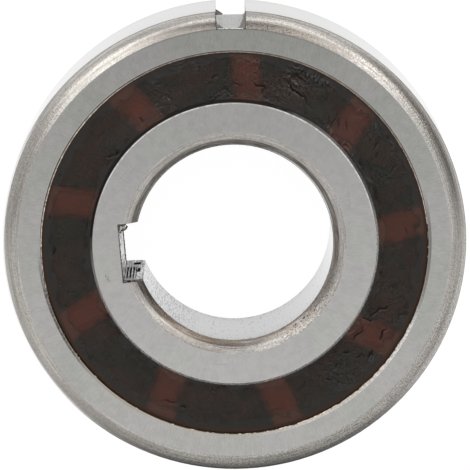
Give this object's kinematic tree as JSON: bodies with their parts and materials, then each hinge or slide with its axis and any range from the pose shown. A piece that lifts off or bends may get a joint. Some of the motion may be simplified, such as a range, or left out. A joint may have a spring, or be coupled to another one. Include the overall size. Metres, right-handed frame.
{
  "type": "sprag clutch bearing",
  "caption": "One-way clutch bearing: keyed inner and outer rings, caged balls with leaning sprags between them, and a thin shield on each side.",
  "frame": {"origin": "middle of the bore, half way through the width", "axes": "+Z along the bore out of the front face, +Y through the middle of the keyway in the outside, +X to the right seen from the front"},
  "size_m": [0.047, 0.047, 0.014],
  "materials": {
    "ring_steel": "through-hardened bearing steel, ground satin faces, turned corners",
    "ball_steel": "lapped bearing steel",
    "sprag_steel": "hardened drawn profile, fine-ground cams",
    "spring_steel": "close-wound spring wire",
    "cage_resin": "red-brown fabric-filled resin, moulded",
    "shield_film": "thin dark amber film, glossy, slightly wrinkled"
  },
  "bodies": {
    "outer_ring": {"outer_ring": "ring_steel", "front_shield": "shield_film", "rear_shield": "shield_film"},
    "inner_ring": {"inner_ring": "ring_steel"},
    "cage": {"cage_front": "cage_resin", "cage_rear": "cage_resin", "garter_spring_front": "spring_steel", "garter_spring_rear": "spring_steel"},
    "ball_1": {"ball_1": "ball_steel"},
    "ball_2": {"ball_2": "ball_steel"},
    "ball_3": {"ball_3": "ball_steel"},
    "ball_4": {"ball_4": "ball_steel"},
    "ball_5": {"ball_5": "ball_steel"},
    "ball_6": {"ball_6": "ball_steel"},
    "ball_7": {"ball_7": "ball_steel"},
    "ball_8": {"ball_8": "ball_steel"},
    "ball_9": {"ball_9": "ball_steel"},
    "sprag_1": {"sprag_1": "sprag_steel"},
    "sprag_2": {"sprag_2": "sprag_steel"},
    "sprag_3": {"sprag_3": "sprag_steel"},
    "sprag_4": {"sprag_4": "sprag_steel"},
    "sprag_5": {"sprag_5": "sprag_steel"},
    "sprag_6": {"sprag_6": "sprag_steel"},
    "sprag_7": {"sprag_7": "sprag_steel"},
    "sprag_8": {"sprag_8": "sprag_steel"},
    "sprag_9": {"sprag_9": "sprag_steel"}
  },
  "joints": [
    {"name": "inner_spin", "type": "hinge", "parent": "outer_ring", "child": "inner_ring", "pos_m": [0, 0, 0], "axis": [0, 0, -1], "range_deg": [0, 900]},
    {"name": "cage_spin", "type": "hinge", "parent": "outer_ring", "child": "cage", "pos_m": [0, 0, 0], "axis": [0, 0, -1], "range_deg": [0, 361]},
    {"name": "ball_1_spin", "type": "hinge", "parent": "cage", "child": "ball_1", "pos_m": [0.01542, 0.00716, 0], "axis": [0, 0, -1], "range_deg": [-2179, 0]},
    {"name": "ball_2_spin", "type": "hinge", "parent": "cage", "child": "ball_2", "pos_m": [0.00721, 0.01539, 0], "axis": [0, 0, -1], "range_deg": [-2179, 0]},
    {"name": "ball_3_spin", "type": "hinge", "parent": "cage", "child": "ball_3", "pos_m": [-0.00437, 0.01643, 0], "axis": [0, 0, -1], "range_deg": [-2179, 0]},
    {"name": "ball_4_spin", "type": "hinge", "parent": "cage", "child": "ball_4", "pos_m": [-0.01391, 0.00978, 0], "axis": [0, 0, -1], "range_deg": [-2179, 0]},
    {"name": "ball_5_spin", "type": "hinge", "parent": "cage", "child": "ball_5", "pos_m": [-0.01694, -0.00145, 0], "axis": [0, 0, -1], "range_deg": [-2179, 0]},
    {"name": "ball_6_spin", "type": "hinge", "parent": "cage", "child": "ball_6", "pos_m": [-0.01204, -0.012, 0], "axis": [0, 0, -1], "range_deg": [-2179, 0]},
    {"name": "ball_7_spin", "type": "hinge", "parent": "cage", "child": "ball_7", "pos_m": [-0.00151, -0.01693, 0], "axis": [0, 0, -1], "range_deg": [-2179, 0]},
    {"name": "ball_8_spin", "type": "hinge", "parent": "cage", "child": "ball_8", "pos_m": [0.00973, -0.01394, 0], "axis": [0, 0, -1], "range_deg": [-2179, 0]},
    {"name": "ball_9_spin", "type": "hinge", "parent": "cage", "child": "ball_9", "pos_m": [0.01641, -0.00443, 0], "axis": [0, 0, -1], "range_deg": [-2179, 0]},
    {"name": "sprag_1_tilt", "type": "hinge", "parent": "cage", "child": "sprag_1", "pos_m": [0.01694, 0.00145, 0], "axis": [0, 0, 1], "range_deg": [0, 4], "stiffness_Nm_per_rad": 0.0002, "springref_deg": -5.73},
    {"name": "sprag_2_tilt", "type": "hinge", "parent": "cage", "child": "sprag_2", "pos_m": [0.01204, 0.012, 0], "axis": [0, 0, 1], "range_deg": [0, 4]},
    {"name": "sprag_3_tilt", "type": "hinge", "parent": "cage", "child": "sprag_3", "pos_m": [0.00151, 0.01693, 0], "axis": [0, 0, 1], "range_deg": [0, 4]},
    {"name": "sprag_4_tilt", "type": "hinge", "parent": "cage", "child": "sprag_4", "pos_m": [-0.00973, 0.01394, 0], "axis": [0, 0, 1], "range_deg": [0, 4]},
    {"name": "sprag_5_tilt", "type": "hinge", "parent": "cage", "child": "sprag_5", "pos_m": [-0.01641, 0.00443, 0], "axis": [0, 0, 1], "range_deg": [0, 4]},
    {"name": "sprag_6_tilt", "type": "hinge", "parent": "cage", "child": "sprag_6", "pos_m": [-0.01542, -0.00716, 0], "axis": [0, 0, 1], "range_deg": [0, 4]},
    {"name": "sprag_7_tilt", "type": "hinge", "parent": "cage", "child": "sprag_7", "pos_m": [-0.00721, -0.01539, 0], "axis": [0, 0, 1], "range_deg": [0, 4]},
    {"name": "sprag_8_tilt", "type": "hinge", "parent": "cage", "child": "sprag_8", "pos_m": [0.00437, -0.01643, 0], "axis": [0, 0, 1], "range_deg": [0, 4]},
    {"name": "sprag_9_tilt", "type": "hinge", "parent": "cage", "child": "sprag_9", "pos_m": [0.01391, -0.00978, 0], "axis": [0, 0, 1], "range_deg": [0, 4]}
  ],
  "couplings": [
    {"joint": "cage_spin", "follows": "inner_spin", "ratio": 0.40078},
    {"joint": "ball_1_spin", "follows": "inner_spin", "ratio": -2.4204},
    {"joint": "ball_2_spin", "follows": "inner_spin", "ratio": -2.4204},
    {"joint": "ball_3_spin", "follows": "inner_spin", "ratio": -2.4204},
    {"joint": "ball_4_spin", "follows": "inner_spin", "ratio": -2.4204},
    {"joint": "ball_5_spin", "follows": "inner_spin", "ratio": -2.4204},
    {"joint": "ball_6_spin", "follows": "inner_spin", "ratio": -2.4204},
    {"joint": "ball_7_spin", "follows": "inner_spin", "ratio": -2.4204},
    {"joint": "ball_8_spin", "follows": "inner_spin", "ratio": -2.4204},
    {"joint": "ball_9_spin", "follows": "inner_spin", "ratio": -2.4204},
    {"joint": "sprag_2_tilt", "follows": "sprag_1_tilt", "ratio": 1},
    {"joint": "sprag_3_tilt", "follows": "sprag_1_tilt", "ratio": 1},
    {"joint": "sprag_4_tilt", "follows": "sprag_1_tilt", "ratio": 1},
    {"joint": "sprag_5_tilt", "follows": "sprag_1_tilt", "ratio": 1},
    {"joint": "sprag_6_tilt", "follows": "sprag_1_tilt", "ratio": 1},
    {"joint": "sprag_7_tilt", "follows": "sprag_1_tilt", "ratio": 1},
    {"joint": "sprag_8_tilt", "follows": "sprag_1_tilt", "ratio": 1},
    {"joint": "sprag_9_tilt", "follows": "sprag_1_tilt", "ratio": 1}
  ]
}
